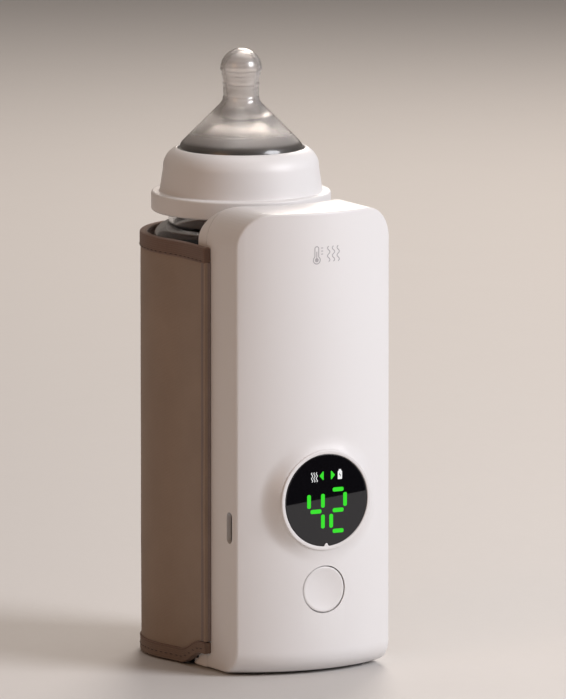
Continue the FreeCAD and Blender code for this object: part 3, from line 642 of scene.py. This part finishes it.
def display_lens():
    """The window, flat to a support ring close to its edge, so that it mirrors without a bend."""
    thick = lens_high.y - lens_low.y
    flat = LENS_RADIUS - 0.5 * MM
    profile = rounded([(0, -thick, 0), (LENS_RADIUS, -thick, 0), (LENS_RADIUS, 0, 0.18 * MM),
                       (flat, 0, 0), (flat - 0.2 * MM, 0, 0), (0, 0, 0)], closed=False)
    bm = lathe(profile, LENS, "y", 160)
    piece("lens_window", bm, LENS_GLOSS, "warmer", ["display_lens"])


def lens_graphic(bm, outline, lift=0.03, depth=0.06):
    """A thin shape on the window from a closed (across, up) outline about its middle."""
    spots = [(LENS.x + x, LENS.y + (depth - lift) * MM, LENS.z + z) for x, z in outline]
    slab(bm, spots, (0, -depth * MM, 0))


def seven_bars(bm, x, lit):
    """One figure of a seven-bar display, with the named bars lit."""
    column, row, drop = 2.83 * MM, 7.52 * MM, -3.85 * MM
    thick, across, upright, corner = 1.5 * MM, 4.45 * MM, 5.0 * MM, 0.62 * MM
    bars = {"top": (0, row), "middle": (0, 0), "bottom": (0, -row),
            "upper_left": (-column, row / 2), "upper_right": (column, row / 2),
            "lower_left": (-column, -row / 2), "lower_right": (column, -row / 2)}
    for key in lit:
        across_by, up_by = bars[key]
        width, height = (thick, upright) if across_by else (across, thick)
        w, t = width / 2, height / 2
        cx, cz = x + across_by, drop + up_by
        lens_graphic(bm, rounded([(cx - w, cz - t, corner), (cx + w, cz - t, corner),
                                  (cx + w, cz + t, corner), (cx - w, cz + t, corner)], 5))


def display_figures():
    bm = bmesh.new()
    seven_bars(bm, -4.27 * MM, ("upper_left", "middle", "upper_right", "lower_right"))
    seven_bars(bm, 4.77 * MM, ("top", "upper_right", "middle", "lower_left", "bottom"))
    face_out(bm)
    piece("display_figures", bm, LIT_GREEN, "warmer", ["display_digits"])


SYMBOL_UP = 9.0 * MM
BATTERY_X = 5.5 * MM


def display_arrows():
    """Two arrowheads that point away from each other."""
    bm = bmesh.new()
    for base, tip in ((-1.15 * MM, -2.85 * MM), (1.8 * MM, 3.5 * MM)):
        lens_graphic(bm, rounded([(base, SYMBOL_UP - 1.85 * MM, 0.2 * MM), (tip, SYMBOL_UP, 0.3 * MM),
                                  (base, SYMBOL_UP + 1.85 * MM, 0.2 * MM)], 4))
    face_out(bm)
    piece("display_arrows", bm, LIT_GREEN, "warmer")


def display_symbols():
    """A battery, and three waves of heat."""
    bm = bmesh.new()
    width, foot, top = 0.86 * MM, SYMBOL_UP - 1.7 * MM, SYMBOL_UP + 1.4 * MM
    cap, cap_top = 0.45 * MM, top + 0.5 * MM
    lens_graphic(bm, rounded([
        (BATTERY_X - width, foot, 0.25 * MM), (BATTERY_X + width, foot, 0.25 * MM),
        (BATTERY_X + width, top, 0.4 * MM), (BATTERY_X + cap, top, 0),
        (BATTERY_X + cap, cap_top, 0.15 * MM), (BATTERY_X - cap, cap_top, 0.15 * MM),
        (BATTERY_X - cap, top, 0), (BATTERY_X - width, top, 0.4 * MM)], 4))
    half = 0.15 * MM
    for i in range(3):
        middle = (-5.85 + 0.95 * i) * MM
        wave = [(middle + 0.25 * MM * math.sin(4 * math.pi * t), SYMBOL_UP - 2.1 * MM + 3.5 * MM * t)
                for t in (k / 24 for k in range(25))]
        lens_graphic(bm, [(x - half, z) for x, z in wave] + [(x + half, z) for x, z in reversed(wave)])
    face_out(bm)
    piece("display_symbols", bm, LIT_WHITE, "warmer", ["display_icons"])


def battery_spark():
    """The dark spark on the battery."""
    bm = bmesh.new()
    corners = [(-0.1, 0.75), (-0.38, -0.25), (-0.02, -0.15), (0.1, -1.0), (0.38, 0.0), (0.02, -0.08)]
    lens_graphic(bm, [(BATTERY_X + x * MM, SYMBOL_UP + z * MM) for x, z in corners], 0.05, 0.02)
    face_out(bm)
    piece("battery_spark", bm, LENS_GLOSS, "warmer")


# ---------------------------------------------------------------- button and printed mark

def button_cap():
    """A dished cap, whose face follows the front's curve, on a flange behind the wall."""
    depth = cap_high.y - cap_low.y
    radius, flange = 8.3 * MM, (cap_high.x - cap_low.x) / 2
    dish, shoulder = -1.0 * MM, -2.9 * MM
    bowl = [(radius * 0.93 * k / 14, dish * (1 - (k / 14) ** 2)) for k in range(15)]
    rim = rounded([bowl[-1] + (0,), (radius, 0, 0.45 * MM), (radius, shoulder, 0)], 6, closed=False)
    base = [(flange, shoulder), (flange, -depth), (0, -depth)]
    bm = lathe(bowl[:-1] + rim + base, BUTTON, "y", 128)
    for v in bm.verts:
        if v.co.y < BUTTON.y + 1.9 * MM:
            v.co.y += front_y(v.co.x) - front_y(0)
    piece("button_face", bm, WHITE_PLASTIC, "button", ["button_cap"])


def ribbon(bm, spots, half):
    """A flat stroke of even width along (across, up) points about the mark's middle."""
    middle_z = 152.7 * MM
    line = [Vector(s) for s in spots]
    sides = ([], [])
    for i, spot in enumerate(line):
        ahead = line[min(i + 1, len(line) - 1)] - line[max(i - 1, 0)]
        across = Vector((-ahead.y, ahead.x)).normalized() * half
        sides[0].append(spot + across)
        sides[1].append(spot - across)
    for i in range(len(line) - 1):
        quad = (sides[0][i], sides[0][i + 1], sides[1][i + 1], sides[1][i])
        bm.faces.new([bm.verts.new((p.x, 0, middle_z + p.y)) for p in quad])


def front_mark():
    """A small thermometer beside three warm waves, printed high on the front."""
    bm = bmesh.new()
    line = 0.36 * MM
    stem_x, top, bulb_z, bulb, tube = -3.2 * MM, 3.0 * MM, -1.9 * MM, 1.35 * MM, 0.75 * MM
    gap = math.degrees(math.asin(tube / bulb))
    glass = arc((stem_x, bulb_z), bulb, 90 + gap, 450 - gap, 40)
    glass += arc((stem_x, top - tube), tube, 0, 180, 16)
    ribbon(bm, glass + glass[:1], line / 2)
    ribbon(bm, [(stem_x, bulb_z), (stem_x, 1.2 * MM)], line / 2)
    ribbon(bm, arc((stem_x, bulb_z), 0.4 * MM, 0, 360, 20), line)
    for i in range(3):
        z = (0.2 + i * 1.1) * MM
        ribbon(bm, [(stem_x + 1.7 * MM, z), (stem_x + 2.5 * MM, z)], line / 2.4)
    for i in range(3):
        x = (1.6 + 2.0 * i) * MM
        ribbon(bm, [(x + 0.5 * MM * math.sin(t * math.pi / 8), (-2.7 + 5.6 * t / 32) * MM)
                    for t in range(33)], line / 2)
    bmesh.ops.remove_doubles(bm, verts=bm.verts, dist=1e-6)
    for v in bm.verts:
        v.co.y = front_y(v.co.x) - 0.02 * MM
    face_out(bm)
    bmesh.ops.solidify(bm, geom=bm.faces[:], thickness=0.03 * MM)
    face_out(bm)
    piece("warming_mark", bm, PRINT_GREY, "warmer")


# ---------------------------------------------------------------- sleeve

SLEEVE_RADIUS = (sleeve_high.x - sleeve_low.x) / 2
SLEEVE_FLAT = HALF_WIDTH + 0.1 * MM + 2.8 * MM
SLEEVE_END_Y = sleeve_low.y


def sleeve_path(inset, spacing=1.1 * MM):
    """The sleeve's plan line, from its left end round the bottle to its right end."""
    radius, flat = SLEEVE_RADIUS - inset, SLEEVE_FLAT - inset
    turn = math.asin(math.sqrt(radius ** 2 - flat ** 2) / radius)
    steps = 120
    curve = [Vector((-radius * math.cos(a), AXIS_Y + radius * math.sin(a)))
             for a in [-turn + (math.pi + 2 * turn) * k / steps for k in range(steps + 1)]]
    left, right = Vector((-flat, SLEEVE_END_Y)), Vector((flat, SLEEVE_END_Y))
    rough = [left] + [left.lerp(curve[0], k / 20) for k in range(1, 20)] + curve
    rough += [curve[-1].lerp(right, k / 20) for k in range(1, 20)] + [right]
    for _ in range(30):
        rough = [rough[0]] + [(rough[i - 1] + rough[i] * 2 + rough[i + 1]) / 4
                              for i in range(1, len(rough) - 1)] + [rough[-1]]
    lengths = [0.0]
    for a, b in zip(rough, rough[1:]):
        lengths.append(lengths[-1] + (b - a).length)
    count = round(lengths[-1] / spacing)
    even, k = [], 0
    for i in range(count + 1):
        want = lengths[-1] * i / count
        while k < len(rough) - 2 and lengths[k + 1] < want:
            k += 1
        share = (want - lengths[k]) / (lengths[k + 1] - lengths[k])
        even.append(rough[k].lerp(rough[k + 1], share))
    return even, lengths[-1]


def hem_lift(y, z, low):
    """How far the cloth above a hem at low is lifted, near the housing, to clear its foot."""
    share = min(max((-3.4 * MM - y) / (15 * MM), 0), 1)
    fade = max(1 - (z - low) / (30 * MM), 0)
    return 5.5 * MM * share * share * (3 - 2 * share) * fade


def cloth_strip(inset, low, high, rows, softness):
    """A strip of cloth along the sleeve's path, with its own map in metres."""
    path, length = sleeve_path(inset)
    bm = bmesh.new()
    first, edges = ring_edges(bm, [Vector((p.x, p.y, 0)) for p in path], closed=False)
    layers = [first]
    for _ in range(rows):
        made = bmesh.ops.extrude_edge_only(bm, edges=edges)
        fresh = moved_verts(made)
        edges = [e for e in made["geom"] if isinstance(e, bmesh.types.BMEdge)
                 and all(v in fresh for v in e.verts)]
        by_place = {(round(v.co.x, 7), round(v.co.y, 7)): v for v in fresh}
        layers.append([by_place[(round(v.co.x, 7), round(v.co.y, 7))] for v in first])
    place = {}
    for k, layer in enumerate(layers):
        z = low + (high - low) * k / rows
        for i, v in enumerate(layer):
            along = length * i / (len(path) - 1)
            ahead = path[min(i + 1, len(path) - 1)] - path[max(i - 1, 0)]
            out = Vector((-ahead.y, ahead.x, 0)).normalized()
            v.co += out * softness * noise.noise(Vector((along * 24, z * 24, inset * 1000)))
            v.co.z = z
            place[v] = (along, z)
    map_cloth(bm, place.get)
    face_out(bm)
    axis = Vector((0, AXIS_Y, 0))
    if sum(f.normal.dot(f.calc_center_median() - axis) for f in bm.faces) < 0:
        bmesh.ops.reverse_faces(bm, faces=bm.faces)
    return bm, length


def cloth_piece(name, material, replaced, strip, thickness, rim=0.3, hem=None):
    """A strip of cloth with a thickness and soft edges, lifted above its hem if it has one."""
    inset, low, high, rows, softness = strip
    bm, length = cloth_strip(inset * MM, low, high, rows, softness * MM)
    if hem is not None:
        for v in bm.verts:
            v.co.z += hem_lift(v.co.y, v.co.z, hem)
    inwards = {"thickness": thickness * MM, "offset": -1.0, "use_even_offset": True}
    edges = {"width": rim * MM, "segments": 3, "limit_method": "ANGLE",
             "angle_limit": math.radians(50)}
    item = piece(name, bm, material, "warmer", replaced,
                 modifiers=[("SOLIDIFY", inwards), ("BEVEL", edges)])
    return item, length


def sleeve():
    """Outer cloth and lining, with the bindings, piping, folds and threads that edge them."""
    low, high, hem = hem_high.z - 0.6 * MM, band_low.z + 0.6 * MM, hem_low.z
    cloth, length = cloth_piece("sleeve_cloth", SLEEVE_CLOTH, ["sleeve_outer"],
                                (0.35, low, high, 60, 0.18), 1.5, hem=low)
    lining, lining_length = cloth_piece("sleeve_inner_cloth", LINING_CLOTH,
                                        ["sleeve_lining"], (1.95, low, high, 40, 0.1), 0.8, hem=low)
    top, _ = cloth_piece("sleeve_top_binding", TRIM_CLOTH, ["sleeve_top_trim"],
                         (0, band_low.z, band_high.z, 8, 0.08), 2.9, 0.9)
    bottom, _ = cloth_piece("sleeve_bottom_binding", HEM_CLOTH, ["sleeve_bottom_trim"],
                            (0, hem, hem_high.z, 8, 0.08), 2.9, 0.9, hem)
    piping, _ = cloth_piece("sleeve_hem_piping", TRIM_CLOTH, (),
                            (-0.12, hem_high.z - 0.5 * MM, hem_high.z + 0.35 * MM, 2, 0.08),
                            0.9, 0.25, hem)
    ends = sleeve_ends(hem_high.z - 0.4 * MM, band_low.z + 0.4 * MM)
    stitches("top_stitches", band_low.z + 0.9 * MM)
    stitches("bottom_stitches", hem + 2.2 * MM, hem)


def sleeve_ends(low, high):
    """The upright folded edges that close the sleeve's ends against the housing."""
    out, wide = SLEEVE_FLAT - 0.2 * MM, 3.3 * MM
    face_in, end = HALF_WIDTH + 0.1 * MM, SLEEVE_END_Y - 0.15 * MM
    made = []
    for side, name in ((-1, "sleeve_left_fold"), (1, "sleeve_right_fold")):
        plan = rounded([(side * face_in, end, 0.3 * MM), (side * out, end, 2.0 * MM),
                        (side * out, end + wide, 0.5 * MM),
                        (side * face_in, end + wide, 0.3 * MM)], 5)
        bm = slab(bmesh.new(), [(x, y, low) for x, y in plan], (0, 0, high - low))
        cut_rows(bm, UP, [low + (high - low) * k / 50 for k in range(1, 50)])
        for v in bm.verts:
            v.co.z += hem_lift(end, v.co.z, low)
        face_out(bm)
        map_cloth(bm, lambda v: (v.co.y - side * v.co.x, v.co.z))
        # The folds wear a darker, bluer copy of the sleeve cloth: painted shade.
        made.append(piece(name, bm, SHADED_FOLD_CLOTH, "warmer"))
    return made


def stitches(name, level, hem=None):
    """A row of short threads that sew a binding down."""
    path, _ = sleeve_path(0, 0.75 * MM)
    thread = Matrix.Diagonal((1.0 * MM, 0.2 * MM, 0.2 * MM, 1))
    bm = bmesh.new()
    for i in range(2, len(path) - 4, 4):
        a, b = path[i], path[i + 3]
        along = (b - a).normalized()
        out = Vector((-along.y, along.x))
        middle = (a + b) / 2
        if out.dot(middle - Vector((0, AXIS_Y))) < 0:
            out = -out
        z = level + (hem_lift(middle.y, level, hem) if hem is not None else 0)
        spot = middle + out * 0.02 * MM
        lie = Matrix(((along.x, out.x, 0, spot.x), (along.y, out.y, 0, spot.y),
                      (0, 0, 1, z), (0, 0, 0, 1)))
        bmesh.ops.create_icosphere(bm, subdivisions=1, radius=1.0, matrix=lie @ thread)
    face_out(bm)
    piece(name, bm, THREAD, "warmer")


def sleeve_floor():
    """The stiff disc that closes the sleeve below the bottle."""
    low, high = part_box("sleeve_base")
    radius, thick, soft = high.x, high.z - low.z, 0.6 * MM
    profile = rounded([(0, 0, 0), (radius, 0, soft), (radius, thick, soft), (0, thick, 0)], 5,
                      closed=False)
    bm = lathe(profile, Vector((0, AXIS_Y, low.z)), "z", 128)
    map_cloth(bm, lambda v: (v.co.x, v.co.y))
    piece("sleeve_floor", bm, LINING_CLOTH, "warmer", ["sleeve_base"])


def insulation():
    """The felt pad behind the heating plate."""
    low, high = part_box("insulation_pad")
    inner, outer, soft = 36.2 * MM, 40.6 * MM, 0.4 * MM
    half = math.asin(high.x / outer)
    start = -math.pi / 2 - half * 0.97
    profile = rounded([(inner, low.z, soft), (outer, low.z, soft),
                       (outer, high.z, soft), (inner, high.z, soft)], 3)
    bm = bmesh.new()
    end = bm.faces.new([bm.verts.new((r * math.cos(start), AXIS_Y + r * math.sin(start), h))
                        for r, h in profile])
    bmesh.ops.spin(bm, geom=[end], cent=(0, AXIS_Y, 0), axis=(0, 0, 1), dvec=(0, 0, 0),
                   angle=half * 1.94, steps=40, use_merge=False, use_duplicate=False)
    face_out(bm)
    map_cloth(bm, lambda v: (v.co.x, v.co.z))
    piece("felt_pad", bm, FELT, "warmer", ["insulation_pad"])


# ---------------------------------------------------------------- bottle, collar and teat

def bottle_body():
    """A clear bottle with an even wall, a round shoulder and a rounded mouth."""
    mouth = (bottle_high.z - bottle_low.z) / MM
    profile = turned([
        (0, 0.9), (20.5, 0.9), (22.5, 0), (26.7, 0), (32.7, 6, 6), (32.7, 143.8), (26.2, 151.66, 8),
        (26.2, mouth - 0.6), (25.6, mouth, 0.6), (25.2, mouth), (24.6, mouth - 0.6, 0.6),
        (24.6, 150.2), (31.1, 143.8, -6.4), (31.1, 6), (26.7, 1.6, -4.4), (22.5, 1.6), (20.5, 2.5),
        (0, 2.5)])
    bm = lathe(scaled(profile, bottle_low.z), Vector((0, AXIS_Y, 0)), "z", 144)
    piece("bottle_body", bm, BOTTLE_CLEAR, "bottle", ["bottle"])


def collar():
    """The screw collar: a flanged skirt that domes in over the teat."""
    profile = turned([
        (26.5, 0.4), (26.9, 0, 0.4), (31.6, 0), (32.5, 0.9, 0.9), (32.5, 6.1), (31.7, 6.9, 0.8),
        (29.9, 6.9), (29.4, 7.4, -0.5), (28.2, 15.2), (23.5, 22.7, 7.6), (22.9, 22.3, 0.5),
        (22.9, 20.4), (26.5, 20.4)])
    bm = lathe(scaled(profile, collar_low.z), Vector((0, AXIS_Y, 0)), "z", 160)
    piece("collar_skirt", bm, COLLAR_PLASTIC, "collar", ["bottle_collar"])


def rippled(profile):
    """The teat's profile with faint uneven rings on the outside of its stem and bulb."""
    made = []
    for radius, up in profile:
        outside = radius > 6.2 and 21 < up < 37.5
        fade = min(up - 21, 37.5 - up, 3) / 3 if outside else 0
        wave = math.sin(3.7 * up) + 0.7 * math.sin(2.3 * up + 1)
        made.append((radius + 0.075 * fade * wave, up))
    return made


def teat():
    """A soft cone that narrows to a stem and a rounded bulb, with a ledge inside."""
    profile = turned([
        (21, 0), (26.1, 0), (26.1, 1.9), (22.5, 1.9), (22.5, 3), (20.9, 6.9, 5.5), (7.97, 19.9),
        (6.5, 23.4, -5), (6.5, 25.5), (7.5, 32.9, -28), (0, 40.4, 7.5), (0, 38.9), (6, 32.9, -6),
        (5, 25.5, 28), (5, 22.7), (6.9, 18.8, 6.5), (8.6, 15.2), (10.4, 14.9), (19.8, 5.8),
        (21, 3, -4)], 24)
    bm = lathe(scaled(rippled(profile), teat_low.z), Vector((0, AXIS_Y, 0)), "z", 128)
    piece("teat_dome", bm, TEAT_SILICONE, "teat", ["teat"], sharp=60)


# ---------------------------------------------------------------- stage, light and camera

def lens_card():
    """A small black card, which only the lens's upper half mirrors."""
    near_end, far_end, tall = Vector((0.148, -0.385, 0)), Vector((0.228, -0.4185, 0)), UP * 0.05
    bm = bmesh.new()
    bm.faces.new([bm.verts.new(spot) for spot in (near_end, far_end, far_end + tall, near_end + tall)])
    card = plain_object("lens_card", bm)
    material, tree, shader = new_material("card black", roughness=1.0, specular_ior_level=0.0)
    shade = add_node(tree, "ShaderNodeTexNoise", {"Scale": 40.0}).outputs["Fac"]
    feed(tree, shader, {"Base Color": spread(tree, shade, 0.0005, 0.001)})
    card.data.materials.append(material)
    for ray in ("camera", "diffuse", "shadow", "transmission", "volume_scatter"):
        setattr(card, f"visible_{ray}", False)


def studio():
    """A pale floor, soft light from four lamps, and warm air."""
    scene = bpy.context.scene
    scene.view_settings.view_transform = "Standard"
    bm = bmesh.new()
    bmesh.ops.create_grid(bm, x_segments=1, y_segments=1, size=6.0)
    floor = plain_object("studio_floor", bm)
    floor.data.materials.append(moulded("floor paper", (0.62, 0.60, 0.58), (0.6, 0.58, 0.56), 0.5,
                                        0.6, 0.1, 300.0, 0.05))
    lens_card()
    world = bpy.data.worlds.new("studio air")
    scene.world = world
    world.use_nodes = True
    air = world.node_tree.nodes["Background"].inputs
    air["Color"].default_value = rgba((1.0, 0.86, 0.76))
    air["Strength"].default_value = 0.155
    lamps = [
        ("key", (0.95, -1.25, 0.95), 0.9, 27.0, (0.95, 0.95, 1.0)),
        ("fill", (-1.3, -0.5, 0.7), 0.8, 2.5, (1.0, 0.56, 0.3)),
        ("top", (0.1, 0.2, 1.6), 1.0, 5.0, (1.0, 0.95, 0.92)),
        ("back", (0.9, 1.2, 0.9), 0.7, 10.0, (1.0, 0.9, 0.82)),
    ]
    aim = Vector((0, 0, 0.1))
    for name, place, size, power, color in lamps:
        lamp = bpy.data.lights.new(name, "AREA")
        lamp.shape, lamp.size, lamp.energy, lamp.color = "DISK", size, power, color
        item = bpy.data.objects.new(name, lamp)
        item.location = place
        item.rotation_mode = "QUATERNION"
        item.rotation_quaternion = (aim - Vector(place)).to_track_quat("-Z", "Y")
        item.visible_camera = False
        scene.collection.objects.link(item)


def camera():
    """A long lens, from the left of the front and a little above it."""
    azimuth, elevation = math.radians(-28.35), math.radians(8.6)
    aim = Vector((0, AXIS_Y - 31.9 * MM, 114.1 * MM))
    back = Vector((math.sin(azimuth) * math.cos(elevation), -math.cos(azimuth) * math.cos(elevation),
                   math.sin(elevation)))
    data = bpy.data.cameras.new("view")
    data.lens = 800
    data.sensor_width = 36
    seen_height = 251.6 * MM
    item = bpy.data.objects.new("view", data)
    item.location = aim + back * (seen_height * data.lens / data.sensor_width)
    item.rotation_mode = "QUATERNION"
    item.rotation_quaternion = (-back).to_track_quat("-Z", "Y")
    bpy.context.scene.collection.objects.link(item)
    bpy.context.scene.camera = item


# ---------------------------------------------------------------- making

for label, look in CAD_LOOKS.items():
    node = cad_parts[label]
    node.data.materials.clear()
    node.data.materials.append(look)

front_shell()
display_rim()
rim_index_mark()
display_lens()
display_figures()
display_arrows()
display_symbols()
battery_spark()
button_cap()
front_mark()
sleeve()
sleeve_floor()
insulation()
bottle_body()
collar()
teat()
studio()
camera()
